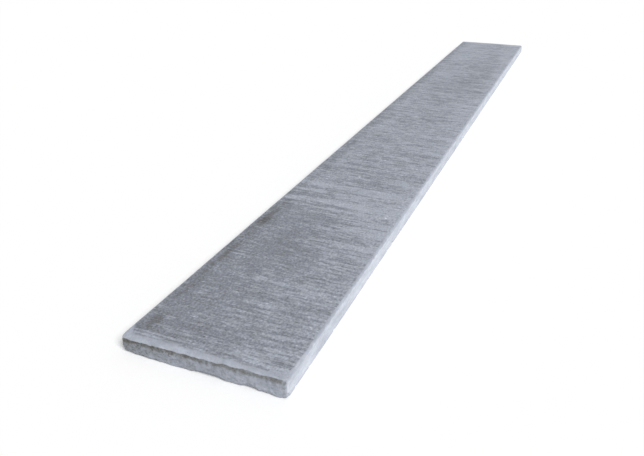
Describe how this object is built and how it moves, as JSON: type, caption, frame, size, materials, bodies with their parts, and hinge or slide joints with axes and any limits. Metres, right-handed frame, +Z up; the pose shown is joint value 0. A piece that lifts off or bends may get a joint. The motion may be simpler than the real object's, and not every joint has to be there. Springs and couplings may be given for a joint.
{
  "type": "long precast concrete slab",
  "caption": "Long thin rectangular concrete slab with a brushed face, rounded face arrises and a flat back, laid flat as paving, edging or a plank.",
  "frame": {"origin": "middle of the underside, on the ground the slab lies on", "axes": "+X along the length, +Y across the width, +Z up through the thickness, out of the brushed face"},
  "size_m": [2.75, 0.3, 0.035],
  "materials": {
    "concrete": "matte"
  },
  "bodies": {
    "root": {"slab": "concrete"}
  },
  "joints": []
}
